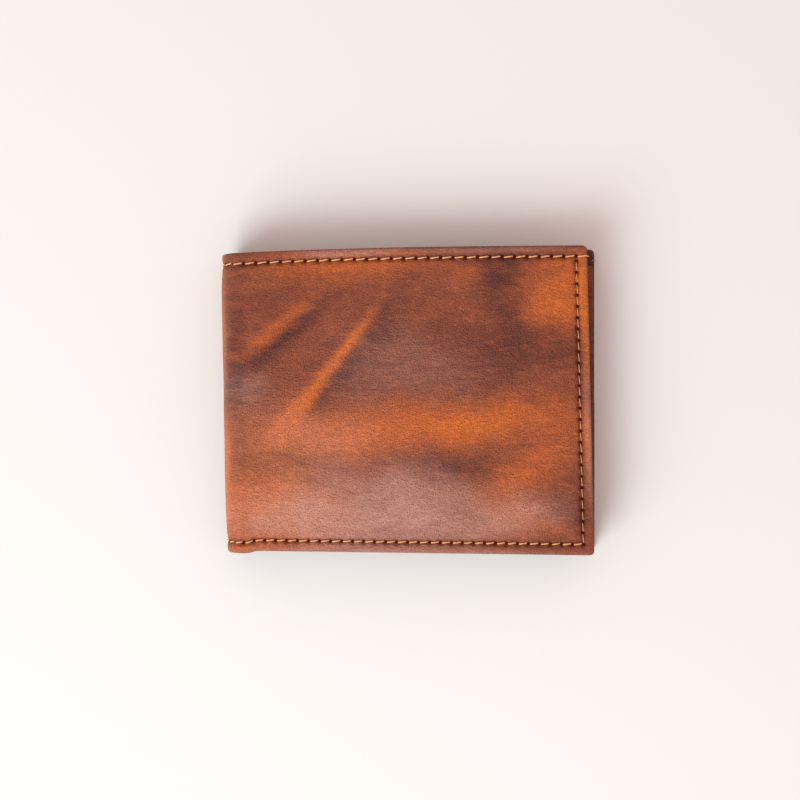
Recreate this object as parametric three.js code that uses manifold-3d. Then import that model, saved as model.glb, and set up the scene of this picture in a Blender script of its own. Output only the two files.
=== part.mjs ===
// Trifold wallet: a leather cover wraps two leaves, each with a note section and four card pockets,
// and a third leaf, the centre wing, turns on the spine between them and carries an identity window.
// The wallet lies closed on its back leaf, with the spine towards -X and the note openings towards +Y.
// Millimetres, +Z up, origin on the resting face at the centre of the closed footprint.
import * as THREE from "three";
import { mergeVertices } from "three/addons/utils/BufferGeometryUtils.js";
import Module from "manifold-3d";

const wasm = await Module();
wasm.setup();

// Closed outline, seen from above
const LENGTH = 114; // spine to the furthest free edge
const HEIGHT = 91.8; // at the free edges
const SPINE_HEIGHT = 89.4; // at the spine
const BACK_SKEW = 0.6; // the back leaf's free edge falls back this much at its lower corner
const FRONT_SHORT_TOP = 3.9; // the front leaf stops this far short of the back leaf's upper corner
const FRONT_SHORT_BOTTOM = 2.3;
const CORNER_RADIUS = 1.5;
const SPINE_X = -LENGTH / 2;

// Fold: each sheet turns through a quarter circle at each side of the spine, and is parted at half of it
const BEND_RADIUS = 6; // outer face of the cover
const SPLIT_ANGLE = Math.PI / 4;
const SPLIT_GAP = 0.3;
const BEND_STEPS = 5;
const BEND_X = SPINE_X + BEND_RADIUS;

// Card pockets on each leaf
const POCKET_COUNT = 4;
const POCKET_THICKNESS = 0.55;
const POCKET_SPACE = 0.15;
const POCKET_TOP_Y = 33; // upper edge of the highest pocket
const POCKET_STEP = 11; // each pocket's upper edge lies this far below the one behind it
const POCKET_LEFT_X = BEND_X + 1;
const POCKET_BAND = 14; // full-width strip along a hidden pocket's upper edge
const POCKET_TAIL = 45; // depth of a hidden pocket
const POCKET_SHOULDER = 6; // a hidden pocket's tail is this much narrower at each side

// Centre wing
const WING_CLEARANCE = 0.4; // to the pockets of each leaf
const WING_SPACE = 0.12; // between the wing's own sheets
const WING_CORE_THICKNESS = 0.4;
const WING_POCKET_COUNT = 3;
const WING_POCKET_THICKNESS = 0.5;
const WING_POCKET_TOP_Y = 22;
const WING_FILM_THICKNESS = 0.2;
const WING_FRAME_THICKNESS = 0.5;
const WING_HEIGHT = 80;
const WING_HINGE_OFFSET = 6.4; // hinge line, from the spine's outer face
const WING_HINGE_GAP = 0.4;
const WING_PANEL_LEFT_X = SPINE_X + 11;
const WING_PANEL_WIDTH = 93;
const WINDOW_WIDTH = 78;
const WINDOW_HEIGHT = 47;
const WINDOW_MARGIN = 3; // the film reaches this far behind the frame
const ANCHOR_FLANGE_HEIGHT = 4;
const ANCHOR_THICKNESS = 0.5;

// Stitching: a lockstitch thread lies in a groove in the cover
const TOP_STITCH = 3.7; // hole to hole
const BOTTOM_STITCH = 3.3;
const EDGE_STITCH = 3.4;
const SEAM_INSET = 3.3;
const GROOVE_WIDTH = 1.3;
const GROOVE_DEPTH = 0.7;
const THREAD_WIDTH = 0.7;
const THREAD_TOP = 0.1; // depth of the thread's outer face below the leather
const THREAD_NOTCH = 0.25; // depth of that face at a stitch hole
const THREAD_BOTTOM = 0.4;
const STITCH_RAMP = 0.25; // share of a stitch over which the thread climbs out of its hole
const INSIDE_THREAD_LIFT = 0.05; // the inside thread stands on the front pocket with this gap
const INSIDE_THREAD_THICKNESS = 0.25;
const WING_THREAD_WIDTH = 0.6;
const WING_THREAD_INSET = 2.2;

const OVERRUN = 2; // cuts run this far past the faces they open
const CORNER_STEPS = 4; // flat faces round each outer corner
const SAME_POINT = 1e-4; // vertices closer than this are one

const leather = (color, roughness) => new THREE.MeshStandardMaterial({ color, roughness, metalness: 0 });
const OUTER_LEATHER = () => leather(0xa4592f, 0.45);
const INNER_LEATHER = () => leather(0x7d4324, 0.55);
const LINING = () => leather(0x4a3024, 0.9);
const THREAD = () => leather(0xd99a55, 0.7);
const CLEAR = { color: 0xdde3e6, roughness: 0.15, transparent: true, opacity: 0.35 };
const WINDOW = () => new THREE.MeshStandardMaterial(CLEAR);

// Sheets that wrap the spine, from the outside in; `space` is the gap to the next sheet
const SHEETS = [
  { name: "cover", thickness: 1.2, space: 0.1, inset: 0, drop: 0, material: OUTER_LEATHER },
  { name: "lining", thickness: 0.3, space: 0.5, inset: 0.4, drop: 0, material: LINING },
  { name: "note_divider", thickness: 0.3, space: 0.5, inset: 0.4, drop: 2.5, material: LINING },
  { name: "inner_wall", thickness: 0.4, space: 0.15, inset: 0.4, drop: 4.5, material: INNER_LEATHER },
];
let depth = 0;
for (const sheet of SHEETS) {
  sheet.outer = depth;
  sheet.inner = depth + sheet.thickness;
  depth = sheet.inner + sheet.space;
}
const WALL_DEPTH = SHEETS[SHEETS.length - 1].inner;
const POCKET_PITCH = POCKET_THICKNESS + POCKET_SPACE;
const FIRST_POCKET_DEPTH = depth;
const LEAF_DEPTH = FIRST_POCKET_DEPTH + POCKET_COUNT * POCKET_PITCH - POCKET_SPACE;

// Wing levels, from its card pockets up to its window frame
const WING_POCKET_PITCH = WING_POCKET_THICKNESS + WING_SPACE;
const WING_BOTTOM_Z = LEAF_DEPTH + WING_CLEARANCE;
const WING_CORE_Z = WING_BOTTOM_Z + WING_POCKET_COUNT * WING_POCKET_PITCH;
const WING_FILM_Z = WING_CORE_Z + WING_CORE_THICKNESS + WING_SPACE;
const WING_FRAME_Z = WING_FILM_Z + WING_FILM_THICKNESS + WING_SPACE;
const WING_TOP_Z = WING_FRAME_Z + WING_FRAME_THICKNESS;
const THICKNESS = WING_TOP_Z + WING_CLEARANCE + LEAF_DEPTH;
const WING_HINGE_X = SPINE_X + WING_HINGE_OFFSET;
const WING_HINGE_Z = WING_CORE_Z + WING_CORE_THICKNESS / 2;

const BACK_REACH = { top: LENGTH / 2, bottom: LENGTH / 2 - BACK_SKEW };
const FRONT_REACH = { top: LENGTH / 2 - FRONT_SHORT_TOP, bottom: LENGTH / 2 - FRONT_SHORT_BOTTOM };

// ---- solids ----

function toSolid(geometry) {
  const bare = geometry.clone();
  bare.deleteAttribute("normal");
  bare.deleteAttribute("uv");
  const merged = mergeVertices(bare, SAME_POINT);
  return new wasm.Manifold(new wasm.Mesh({
    numProp: 3,
    vertProperties: merged.attributes.position.array,
    triVerts: new Uint32Array(merged.index.array),
  }));
}

function toGeometry(solid) {
  const mesh = solid.getMesh();
  const geometry = new THREE.BufferGeometry();
  geometry.setAttribute("position", new THREE.BufferAttribute(mesh.vertProperties, 3));
  geometry.setIndex(new THREE.BufferAttribute(mesh.triVerts, 1));
  const faceted = geometry.toNonIndexed();
  faceted.computeVertexNormals();
  return faceted;
}

function addPiece(group, name, geometry, material) {
  const mesh = new THREE.Mesh(geometry, material());
  mesh.name = name;
  group.add(mesh);
}

function extrude(shape, length) {
  const settings = { depth: length, bevelEnabled: false, curveSegments: CORNER_STEPS };
  return new THREE.ExtrudeGeometry(shape, settings);
}

// A section drawn in X and Z, from y0 to y1
function alongY(points, y0, y1) {
  const shape = new THREE.Shape(points.map(([x, z]) => new THREE.Vector2(x, z)));
  return extrude(shape, y1 - y0).rotateX(Math.PI / 2).translate(0, y1, 0);
}

// A section drawn in Y and Z, from x0 to x1
function alongX(points, x0, x1) {
  const shape = new THREE.Shape(points.map(([y, z]) => new THREE.Vector2(y, z)));
  const turn = new THREE.Matrix4().makeBasis(
    new THREE.Vector3(0, 1, 0),
    new THREE.Vector3(0, 0, 1),
    new THREE.Vector3(1, 0, 0),
  );
  return extrude(shape, x1 - x0).applyMatrix4(turn).translate(x0, 0, 0);
}

// Skews a seam so that it stays parallel to a slanted edge
function skewY(geometry, slope) {
  return geometry.applyMatrix4(new THREE.Matrix4().makeShear(slope, 0, 0, 0, 0, 0));
}

function skewX(geometry, slope) {
  return geometry.applyMatrix4(new THREE.Matrix4().makeShear(0, 0, slope, 0, 0, 0));
}

// ---- the fold ----

const HALF_SPLIT = SPLIT_GAP / 2 / (BEND_RADIUS - SHEETS[0].thickness / 2);

// A point of a sheet on the back bend: `turn` is 0 where the leaf goes flat and a quarter turn at the spine
function bendPoint(sheetDepth, turn) {
  const radius = BEND_RADIUS - sheetDepth;
  return [BEND_X - radius * Math.sin(turn), BEND_RADIUS - radius * Math.cos(turn)];
}

function bendArc(sheetDepth, from, to) {
  const points = [];
  for (let i = 0; i <= BEND_STEPS; i += 1) {
    points.push(bendPoint(sheetDepth, from + ((to - from) * i) / BEND_STEPS));
  }
  return points;
}

// Section of a leaf's sheet: flat out to `reach`, and bent up to the split at the other end
function leafSection(outer, inner, reach) {
  const last = SPLIT_ANGLE - HALF_SPLIT;
  return [[reach, outer], ...bendArc(outer, 0, last), ...bendArc(inner, last, 0), [reach, inner]];
}

// Section of a spine sheet: the other half of both bends, with the straight spine between them
function spineSection(outer, inner) {
  const first = SPLIT_ANGLE + HALF_SPLIT;
  const side = (sheetDepth) => {
    const lower = bendArc(sheetDepth, first, Math.PI / 2);
    const upper = lower.map(([x, z]) => [x, THICKNESS - z]).reverse();
    return [...lower, ...upper];
  };
  return [...side(outer), ...side(inner).reverse()];
}

// ---- leaf outline ----

const OUTLINE_LEFT_X = SPINE_X - OVERRUN;
const edgeSlope = (reach) => (HEIGHT - SPINE_HEIGHT) / 2 / (reach - OUTLINE_LEFT_X);

function roundedOutline(corners) {
  const shape = new THREE.Shape();
  corners.forEach(({ at, radius }, i) => {
    const before = corners[(i + corners.length - 1) % corners.length].at;
    const after = corners[(i + 1) % corners.length].at;
    const enter = at.clone().add(before.clone().sub(at).setLength(radius));
    const leave = at.clone().add(after.clone().sub(at).setLength(radius));
    if (i === 0) shape.moveTo(enter.x, enter.y);
    else shape.lineTo(enter.x, enter.y);
    if (radius > 0) shape.quadraticCurveTo(at.x, at.y, leave.x, leave.y);
  });
  shape.closePath();
  return shape;
}

function leafOutline(reach, inset, drop) {
  const spineY = SPINE_HEIGHT / 2 - inset;
  const freeY = HEIGHT / 2 - inset;
  return roundedOutline([
    { at: new THREE.Vector2(OUTLINE_LEFT_X, -spineY), radius: 0 },
    { at: new THREE.Vector2(reach.bottom - inset, -freeY), radius: CORNER_RADIUS },
    { at: new THREE.Vector2(reach.top - inset, freeY - drop), radius: CORNER_RADIUS },
    { at: new THREE.Vector2(OUTLINE_LEFT_X, spineY - drop), radius: 0 },
  ]);
}

function outlineSolid(reach, inset, drop) {
  const prism = extrude(leafOutline(reach, inset, drop), LEAF_DEPTH + 2 * OVERRUN);
  return toSolid(prism.translate(0, 0, -OVERRUN));
}

// ---- seams ----

// Outer face of a lockstitch between two places: it dips into the leather at each stitch hole
function stitchedFace(from, to, stitch) {
  const count = Math.round(Math.abs(to - from) / stitch);
  const pitch = (to - from) / count;
  const points = [];
  for (let i = 0; i < count; i += 1) {
    const hole = from + i * pitch;
    points.push([hole, THREAD_NOTCH]);
    points.push([hole + pitch * STITCH_RAMP, THREAD_TOP]);
    points.push([hole + pitch * (1 - STITCH_RAMP), THREAD_TOP]);
  }
  points.push([to, THREAD_NOTCH]);
  return points;
}

// Places a seam bar, made around y = 0, along a leaf's upper (side 1) or lower (side -1) edge
function alongLongEdge(bar, reach, side) {
  const anchored = bar.translate(-OUTLINE_LEFT_X, 0, 0);
  const slanted = skewY(anchored, side * edgeSlope(side > 0 ? reach.top : reach.bottom));
  return slanted.translate(OUTLINE_LEFT_X, side * (SPINE_HEIGHT / 2 - SEAM_INSET), 0);
}

// Places a seam bar, made around x = 0, along a leaf's free edge
function alongFreeEdge(bar, reach) {
  const slope = (reach.top - reach.bottom) / HEIGHT;
  return skewX(bar, slope).translate((reach.top + reach.bottom) / 2 - SEAM_INSET, 0, 0);
}

function longGroove(reach, side) {
  const section = leafSection(-OVERRUN, GROOVE_DEPTH, reach.top - SEAM_INSET);
  return toSolid(alongLongEdge(alongY(section, -GROOVE_WIDTH / 2, GROOVE_WIDTH / 2), reach, side));
}

const FREE_SEAM_HALF = HEIGHT / 2 - SEAM_INSET;

function freeGroove(reach) {
  const half = FREE_SEAM_HALF + GROOVE_WIDTH / 2;
  const section = [[-half, -OVERRUN], [half, -OVERRUN], [half, GROOVE_DEPTH], [-half, GROOVE_DEPTH]];
  return toSolid(alongFreeEdge(alongX(section, -GROOVE_WIDTH / 2, GROOVE_WIDTH / 2), reach));
}

function longThread(reach, side) {
  const end = Math.min(reach.top, reach.bottom) - SEAM_INSET - GROOVE_WIDTH / 2;
  const last = SPLIT_ANGLE - HALF_SPLIT;
  const face = stitchedFace(end, BEND_X, side > 0 ? TOP_STITCH : BOTTOM_STITCH);
  const bend = [...bendArc(THREAD_TOP, last / BEND_STEPS, last), ...bendArc(THREAD_BOTTOM, last, 0)];
  const section = [...face, ...bend, [end, THREAD_BOTTOM]];
  return alongLongEdge(alongY(section, -THREAD_WIDTH / 2, THREAD_WIDTH / 2), reach, side);
}

function freeThread(reach) {
  const half = FREE_SEAM_HALF - GROOVE_WIDTH / 2 - SPLIT_GAP;
  const face = stitchedFace(-half, half, EDGE_STITCH);
  const section = [...face, [half, THREAD_BOTTOM], [-half, THREAD_BOTTOM]];
  return alongFreeEdge(alongX(section, -THREAD_WIDTH / 2, THREAD_WIDTH / 2), reach);
}

// The lower seam shows again inside the leaf, on the front pocket
function insideThread(reach) {
  const from = POCKET_LEFT_X + SEAM_INSET;
  const end = Math.min(reach.top, reach.bottom) - SEAM_INSET;
  const foot = LEAF_DEPTH + INSIDE_THREAD_LIFT;
  const crown = foot + INSIDE_THREAD_THICKNESS;
  const section = [[from, foot], [end, foot], [end, crown], [from, crown]];
  return alongLongEdge(alongY(section, -THREAD_WIDTH / 2, THREAD_WIDTH / 2), reach, -1);
}

// ---- leaf ----

function leafSheet(sheet, reach) {
  const section = leafSection(sheet.outer, sheet.inner, LENGTH);
  const band = toSolid(alongY(section, -HEIGHT, HEIGHT));
  return band.intersect(outlineSolid(reach, sheet.inset, sheet.drop));
}

function leafCover(sheet, reach) {
  return leafSheet(sheet, reach)
    .subtract(longGroove(reach, 1))
    .subtract(longGroove(reach, -1))
    .subtract(freeGroove(reach));
}

// A hidden card pocket is T-shaped, and the nearest one is a full panel down to the lower seam
function pocketOutline(index, left, right, topY, floorY) {
  const upper = topY - index * POCKET_STEP;
  const nearest = floorY !== undefined;
  const tailY = nearest ? floorY : upper - POCKET_TAIL;
  const bandY = nearest ? floorY : upper - POCKET_BAND;
  const shoulder = nearest ? 0 : POCKET_SHOULDER;
  const shape = new THREE.Shape();
  shape.moveTo(left, upper);
  shape.lineTo(left, bandY);
  if (!nearest) {
    shape.lineTo(left + shoulder, bandY);
    shape.lineTo(left + shoulder, tailY);
    shape.lineTo(right - shoulder, tailY);
    shape.lineTo(right - shoulder, bandY);
  }
  shape.lineTo(right, bandY);
  shape.lineTo(right, upper);
  shape.closePath();
  return shape;
}

function leafPocket(index, reach) {
  const nearest = index === POCKET_COUNT - 1;
  const floorY = nearest ? -HEIGHT : undefined;
  const outline = pocketOutline(index, POCKET_LEFT_X, LENGTH, POCKET_TOP_Y, floorY);
  const z = FIRST_POCKET_DEPTH + index * POCKET_PITCH;
  const panel = toSolid(extrude(outline, POCKET_THICKNESS).translate(0, 0, z));
  return panel.intersect(outlineSolid(reach, SHEETS[1].inset, 0));
}

function addLeaf(group, side, reach) {
  for (const sheet of SHEETS) {
    const solid = sheet.name === "cover" ? leafCover(sheet, reach) : leafSheet(sheet, reach);
    addPiece(group, `${side}_${sheet.name}`, toGeometry(solid), sheet.material);
  }
  for (let i = 0; i < POCKET_COUNT; i += 1) {
    addPiece(group, `${side}_card_pocket_${i + 1}`, toGeometry(leafPocket(i, reach)), INNER_LEATHER);
  }
  addPiece(group, `${side}_top_thread`, longThread(reach, 1), THREAD);
  addPiece(group, `${side}_bottom_thread`, longThread(reach, -1), THREAD);
  addPiece(group, `${side}_edge_thread`, freeThread(reach), THREAD);
  addPiece(group, `${side}_inside_thread`, insideThread(reach), THREAD);
}

// ---- spine ----

function spineGroove(side) {
  const y = side * (SPINE_HEIGHT / 2 - SEAM_INSET);
  return toSolid(alongY(spineSection(-OVERRUN, GROOVE_DEPTH), y - GROOVE_WIDTH / 2, y + GROOVE_WIDTH / 2));
}

function spineSheet(sheet) {
  const lower = -SPINE_HEIGHT / 2 + sheet.inset;
  const upper = SPINE_HEIGHT / 2 - sheet.inset - sheet.drop;
  return toSolid(alongY(spineSection(sheet.outer, sheet.inner), lower, upper));
}

function spineThread(side) {
  const y = side * (SPINE_HEIGHT / 2 - SEAM_INSET);
  return alongY(spineSection(THREAD_TOP, THREAD_BOTTOM), y - THREAD_WIDTH / 2, y + THREAD_WIDTH / 2);
}

// The wing hangs on a T-shaped strip: its flange lies along the inner wall and its stem ends at the hinge
function wingAnchor() {
  const wall = SPINE_X + WALL_DEPTH + WING_SPACE;
  const face = wall + ANCHOR_THICKNESS;
  const tip = WING_HINGE_X - WING_HINGE_GAP / 2;
  const half = ANCHOR_THICKNESS / 2;
  const flange = ANCHOR_FLANGE_HEIGHT / 2;
  const z = WING_HINGE_Z;
  return alongY(
    [
      [wall, z - flange], [face, z - flange], [face, z - half], [tip, z - half],
      [tip, z + half], [face, z + half], [face, z + flange], [wall, z + flange],
    ],
    -WING_HEIGHT / 2,
    WING_HEIGHT / 2,
  );
}

function addSpine(group) {
  for (const sheet of SHEETS) {
    const plain = spineSheet(sheet);
    const solid = sheet.name === "cover" ? plain.subtract(spineGroove(1)).subtract(spineGroove(-1)) : plain;
    addPiece(group, `spine_${sheet.name}`, toGeometry(solid), sheet.material);
  }
  addPiece(group, "spine_top_thread", spineThread(1), THREAD);
  addPiece(group, "spine_bottom_thread", spineThread(-1), THREAD);
  addPiece(group, "wing_anchor", wingAnchor(), INNER_LEATHER);
}

// ---- centre wing ----

const WING_RIGHT_X = WING_PANEL_LEFT_X + WING_PANEL_WIDTH;
const WING_MIDDLE_X = WING_PANEL_LEFT_X + WING_PANEL_WIDTH / 2;

function rectangle(left, right, halfHeight) {
  return new THREE.Shape([
    new THREE.Vector2(left, -halfHeight),
    new THREE.Vector2(right, -halfHeight),
    new THREE.Vector2(right, halfHeight),
    new THREE.Vector2(left, halfHeight),
  ]);
}

function panel(shape, z, thickness) {
  return extrude(shape, thickness).translate(0, 0, z);
}

function windowFrame() {
  const shape = rectangle(WING_PANEL_LEFT_X, WING_RIGHT_X, WING_HEIGHT / 2);
  const half = WINDOW_WIDTH / 2;
  shape.holes.push(rectangle(WING_MIDDLE_X - half, WING_MIDDLE_X + half, WINDOW_HEIGHT / 2));
  return panel(shape, WING_FRAME_Z, WING_FRAME_THICKNESS);
}

function windowFilm() {
  const half = WINDOW_WIDTH / 2 + WINDOW_MARGIN;
  const shape = rectangle(WING_MIDDLE_X - half, WING_MIDDLE_X + half, WINDOW_HEIGHT / 2 + WINDOW_MARGIN);
  return panel(shape, WING_FILM_Z, WING_FILM_THICKNESS);
}

function wingCore() {
  const shape = rectangle(WING_HINGE_X + WING_HINGE_GAP / 2, WING_RIGHT_X, WING_HEIGHT / 2);
  return panel(shape, WING_CORE_Z, WING_CORE_THICKNESS);
}

// The wing's card pockets hang below its core, with the nearest one lowest
function wingPocket(index) {
  const nearest = index === WING_POCKET_COUNT - 1;
  const floorY = nearest ? -WING_HEIGHT / 2 : undefined;
  const shape = pocketOutline(index, WING_PANEL_LEFT_X, WING_RIGHT_X, WING_POCKET_TOP_Y, floorY);
  return panel(shape, WING_CORE_Z - (index + 1) * WING_POCKET_PITCH, WING_POCKET_THICKNESS);
}

// One run of thread round the window frame
function wingThread() {
  const ring = (inset) => {
    const halfHeight = WING_HEIGHT / 2 - inset;
    return rectangle(WING_PANEL_LEFT_X + inset, WING_RIGHT_X - inset, halfHeight);
  };
  const shape = ring(WING_THREAD_INSET);
  shape.holes.push(ring(WING_THREAD_INSET + WING_THREAD_WIDTH));
  return panel(shape, WING_TOP_Z + INSIDE_THREAD_LIFT, INSIDE_THREAD_THICKNESS);
}

function addWing(group) {
  addPiece(group, "wing_core", wingCore(), INNER_LEATHER);
  for (let i = 0; i < WING_POCKET_COUNT; i += 1) {
    addPiece(group, `wing_card_pocket_${i + 1}`, wingPocket(i), INNER_LEATHER);
  }
  addPiece(group, "wing_window_film", windowFilm(), WINDOW);
  addPiece(group, "wing_window_frame", windowFrame(), INNER_LEATHER);
  addPiece(group, "wing_thread", wingThread(), THREAD);
}

// ---- assembly ----

const wallet = new THREE.Group();

const backLeaf = new THREE.Group();
addLeaf(backLeaf, "back", BACK_REACH);
wallet.add(backLeaf);

// The front leaf is built like the back one and turned over, so that both covers face outwards
const frontLeaf = new THREE.Group();
frontLeaf.scale.z = -1;
frontLeaf.position.z = THICKNESS;
addLeaf(frontLeaf, "front", FRONT_REACH);
wallet.add(frontLeaf);

const spine = new THREE.Group();
addSpine(spine);
wallet.add(spine);

const wing = new THREE.Group();
addWing(wing);
wallet.add(wing);

export default wallet;
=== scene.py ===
"""Looks of the closed leather trifold wallet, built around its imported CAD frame.

Shapes are worked out in millimetres and made in metres. The spine lies towards -X and the note openings
towards +Y, and the wallet rests on its back leaf. The sheets and seams of a leaf are placed by `wrap`, which
follows the leaf's flat, the bend and half of the spine, so that one skin runs over each fold.
"""
import math

import bmesh
import bpy
import numpy as np
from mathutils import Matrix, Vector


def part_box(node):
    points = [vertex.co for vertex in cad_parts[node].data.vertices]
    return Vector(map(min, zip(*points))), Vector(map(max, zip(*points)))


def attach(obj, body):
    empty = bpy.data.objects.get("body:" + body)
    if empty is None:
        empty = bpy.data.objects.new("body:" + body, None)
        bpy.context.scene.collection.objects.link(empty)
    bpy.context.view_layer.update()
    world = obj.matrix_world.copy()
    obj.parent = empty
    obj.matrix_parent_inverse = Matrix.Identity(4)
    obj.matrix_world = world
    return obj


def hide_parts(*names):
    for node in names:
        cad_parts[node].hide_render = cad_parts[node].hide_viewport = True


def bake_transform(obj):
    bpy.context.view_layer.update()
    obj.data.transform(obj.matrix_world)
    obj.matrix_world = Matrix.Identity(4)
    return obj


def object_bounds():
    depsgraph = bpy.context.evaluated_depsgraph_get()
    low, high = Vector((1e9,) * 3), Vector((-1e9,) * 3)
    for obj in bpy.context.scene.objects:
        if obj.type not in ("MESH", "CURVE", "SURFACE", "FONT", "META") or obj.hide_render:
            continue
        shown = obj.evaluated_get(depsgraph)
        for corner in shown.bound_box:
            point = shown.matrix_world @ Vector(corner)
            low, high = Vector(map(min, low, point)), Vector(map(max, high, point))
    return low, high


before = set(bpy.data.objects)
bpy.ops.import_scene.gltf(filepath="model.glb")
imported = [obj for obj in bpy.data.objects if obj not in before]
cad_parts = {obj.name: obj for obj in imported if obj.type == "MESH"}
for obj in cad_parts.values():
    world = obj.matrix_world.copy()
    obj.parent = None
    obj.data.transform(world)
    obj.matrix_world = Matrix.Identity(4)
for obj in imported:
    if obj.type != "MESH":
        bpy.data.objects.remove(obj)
CAD_LOW, CAD_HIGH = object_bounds()

MM = 0.001
SEED = 11  # for the back cover's colouring


def box_mm(node):
    low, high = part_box(node)
    return np.array(low) / MM, np.array(high) / MM


# ---- sizes, from the frame ----

SPINE_X = CAD_LOW.x / MM
THICKNESS = CAD_HIGH.z / MM
BEND_RADIUS = 6.0
BEND_X = SPINE_X + BEND_RADIUS
SPINE_HALF = THICKNESS / 2 - BEND_RADIUS  # the straight part of half the spine
FLAT_START = SPINE_HALF + BEND_RADIUS * math.pi / 2  # along the cover from mid spine to the flat leaf
SPINE_HALF_HEIGHT = box_mm("spine_cover")[1][1]
FREE_HALF_HEIGHT = box_mm("back_cover")[1][1]
BACK_REACH = box_mm("back_cover")[1][0]
FRONT_REACH = box_mm("front_cover")[1][0]
BACK_SKEW = 0.6  # the free edges are a little slanted
FRONT_SKEW = 1.6
REACH = {  # x of the free edge at its lower and upper corner
    "back": (BACK_REACH - BACK_SKEW, BACK_REACH),
    "front": (FRONT_REACH, FRONT_REACH - FRONT_SKEW),
}
LEAF_DEPTH = box_mm("back_card_pocket_4")[1][2]

# Seams: lockstitch along the upper, lower and free edge of each leaf
STITCH = 3.4  # hole to hole, on the free edge and inside
LONG_STITCH = {"top": 3.7, "bottom": 3.3}
SEAM_INSET = 3.3
THREAD_RADIUS = 0.22
THREAD_LIFT = 0.12  # the outer seams' thread stands this much above the leather
HOLE_FADE = (0.64, 0.40)  # radii at which a needle hole ends and is at its darkest
DIMPLE_FADE = (1.5, 0.4)  # the same for the pulled leather round it


# ---- materials ----

class Graph:
    """A small helper that adds nodes to one material."""

    def __init__(self, name):
        self.material = bpy.data.materials.new(name)
        self.material.use_nodes = True
        self.tree = self.material.node_tree
        self.shader = self.tree.nodes["Principled BSDF"]

    def node(self, kind, links=None, **settings):
        made = self.tree.nodes.new(kind)
        for key, value in settings.items():
            setattr(made, key, value)
        for socket, value in (links or {}).items():
            self.feed(made.inputs[socket], value)
        return made

    def feed(self, socket, value):
        if isinstance(value, bpy.types.NodeSocket):
            self.tree.links.new(value, socket)
        else:
            socket.default_value = value

    def math(self, operation, *values, clamp=False):
        made = self.node("ShaderNodeMath", operation=operation, use_clamp=clamp)
        for socket, value in zip(made.inputs, values):
            self.feed(socket, value)
        return made.outputs[0]

    def mix(self, share, first, second, blend="MIX"):
        made = self.node("ShaderNodeMix", data_type="RGBA", blend_type=blend)
        self.feed(made.inputs[0], share)
        self.feed(made.inputs[6], first)
        self.feed(made.inputs[7], second)
        return made.outputs[2]

    def ramp(self, value, low, high):
        made = self.node("ShaderNodeMapRange", interpolation_type="SMOOTHSTEP")
        for socket, given in zip(made.inputs, (value, low, high, 0.0, 1.0)):
            self.feed(socket, given)
        return made.outputs[0]

    def attribute(self, name, output="Fac"):
        return self.node("ShaderNodeAttribute", attribute_name=name).outputs[output]

    def place(self, scale=(1, 1, 1), turn=0.0):
        """Object position in millimetres, stretched and turned about Z."""
        position = self.node("ShaderNodeTexCoord").outputs["Object"]
        factor = tuple(k / MM for k in scale)
        made = self.node("ShaderNodeMapping", {"Vector": position, "Scale": factor})
        made.inputs["Rotation"].default_value = (0, 0, turn)
        return made.outputs[0]

    def noise(self, vector, scale, detail=3.0, rough=0.55):
        made = self.node("ShaderNodeTexNoise", {"Vector": vector, "Scale": scale})
        made.inputs["Detail"].default_value = detail
        made.inputs["Roughness"].default_value = rough
        return made.outputs["Fac"]

    def bump(self, height, distance, below=None):
        made = self.node("ShaderNodeBump", {"Height": height, "Distance": distance * MM, "Strength": 1.0})
        if below is not None:
            self.feed(made.inputs["Normal"], below)
        return made.outputs[0]

    def finish(self, **sockets):
        for name, value in sockets.items():
            self.feed(self.shader.inputs[name.replace("_", " ").title()], value)
        return self.material


def linear(value):
    """A screen value from 0 to 255, turned into linear light."""
    if value > 10:
        return ((value / 255 + 0.055) / 1.055) ** 2.4
    return value / 255 / 12.92


def rgb(red, green, blue):
    """A colour given as it looks on a screen."""
    return tuple(linear(c) for c in (red, green, blue)) + (1,)


def leather_grain(g, size):
    """Height of a fine pebbled grain with short creases; `size` is the pebble in millimetres."""
    links = {"Vector": g.place(), "Scale": 1 / size}
    cells = g.node("ShaderNodeTexVoronoi", links, feature="DISTANCE_TO_EDGE")
    creases = g.noise(g.place((1, 2.6, 1)), 0.9 / size, 4.0, 0.6)
    pebble_height = g.math("MULTIPLY", g.ramp(cells.outputs["Distance"], 0.0, 0.35), 0.45)
    return g.math("ADD", pebble_height, g.math("MULTIPLY", creases, 0.8))


def seam_spots(g, seam, outside, inside):
    """Mask of round spots at one seam's needle holes, which fade between two radii.

    The seam's attribute holds stitches along it, millimetres across it, and 1 where the seam runs.
    """
    parts = g.node("ShaderNodeSeparateXYZ", {"Vector": g.attribute(seam, "Vector")})
    along, across, runs = parts.outputs
    nearest = g.math("SUBTRACT", along, g.math("ROUND", along))
    along_mm = g.math("MULTIPLY", nearest, STITCH)
    squares = g.math("ADD", g.math("POWER", along_mm, 2.0), g.math("POWER", across, 2.0))
    return g.math("MULTIPLY", g.ramp(g.math("SQRT", squares), outside, inside), runs)


def stitch_spots(g, fade):
    """Mask of round spots at the needle holes of every seam."""
    return g.math("MAXIMUM", *(seam_spots(g, seam, *fade) for seam in ("seam_long", "seam_free")))


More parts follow.
